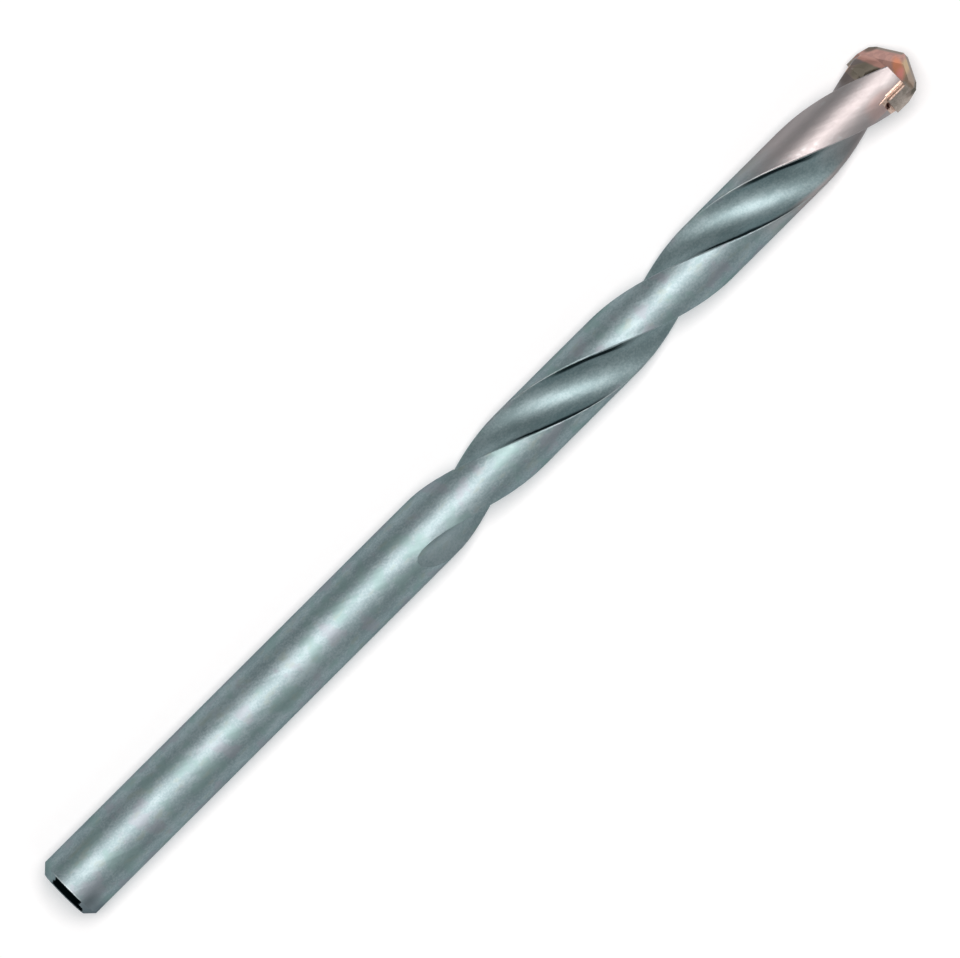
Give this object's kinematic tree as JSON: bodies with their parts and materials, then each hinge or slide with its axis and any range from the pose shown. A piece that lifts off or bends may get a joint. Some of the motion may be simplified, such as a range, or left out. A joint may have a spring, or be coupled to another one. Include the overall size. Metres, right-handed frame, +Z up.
{
  "type": "masonry drill bit",
  "caption": "Straight-shank masonry drill bit with helical flutes that run out into a plain shank, and a carbide plate brazed across the nose.",
  "frame": {"origin": "on the surface that the bit lies on, under the middle of its length", "axes": "+X along the bit towards its tip, +Z up; the bit lies on its side"},
  "size_m": [0.12, 0.0072, 0.0073],
  "materials": {
    "blasted_steel": "satin, with warm heat tints near the nose",
    "ground_carbide": "ground, with copper-coloured stains",
    "braze": "satin, as brazed"
  },
  "bodies": {
    "root": {"drill_body": "blasted_steel", "carbide_tip": "ground_carbide", "braze_joint": "braze"}
  },
  "joints": []
}
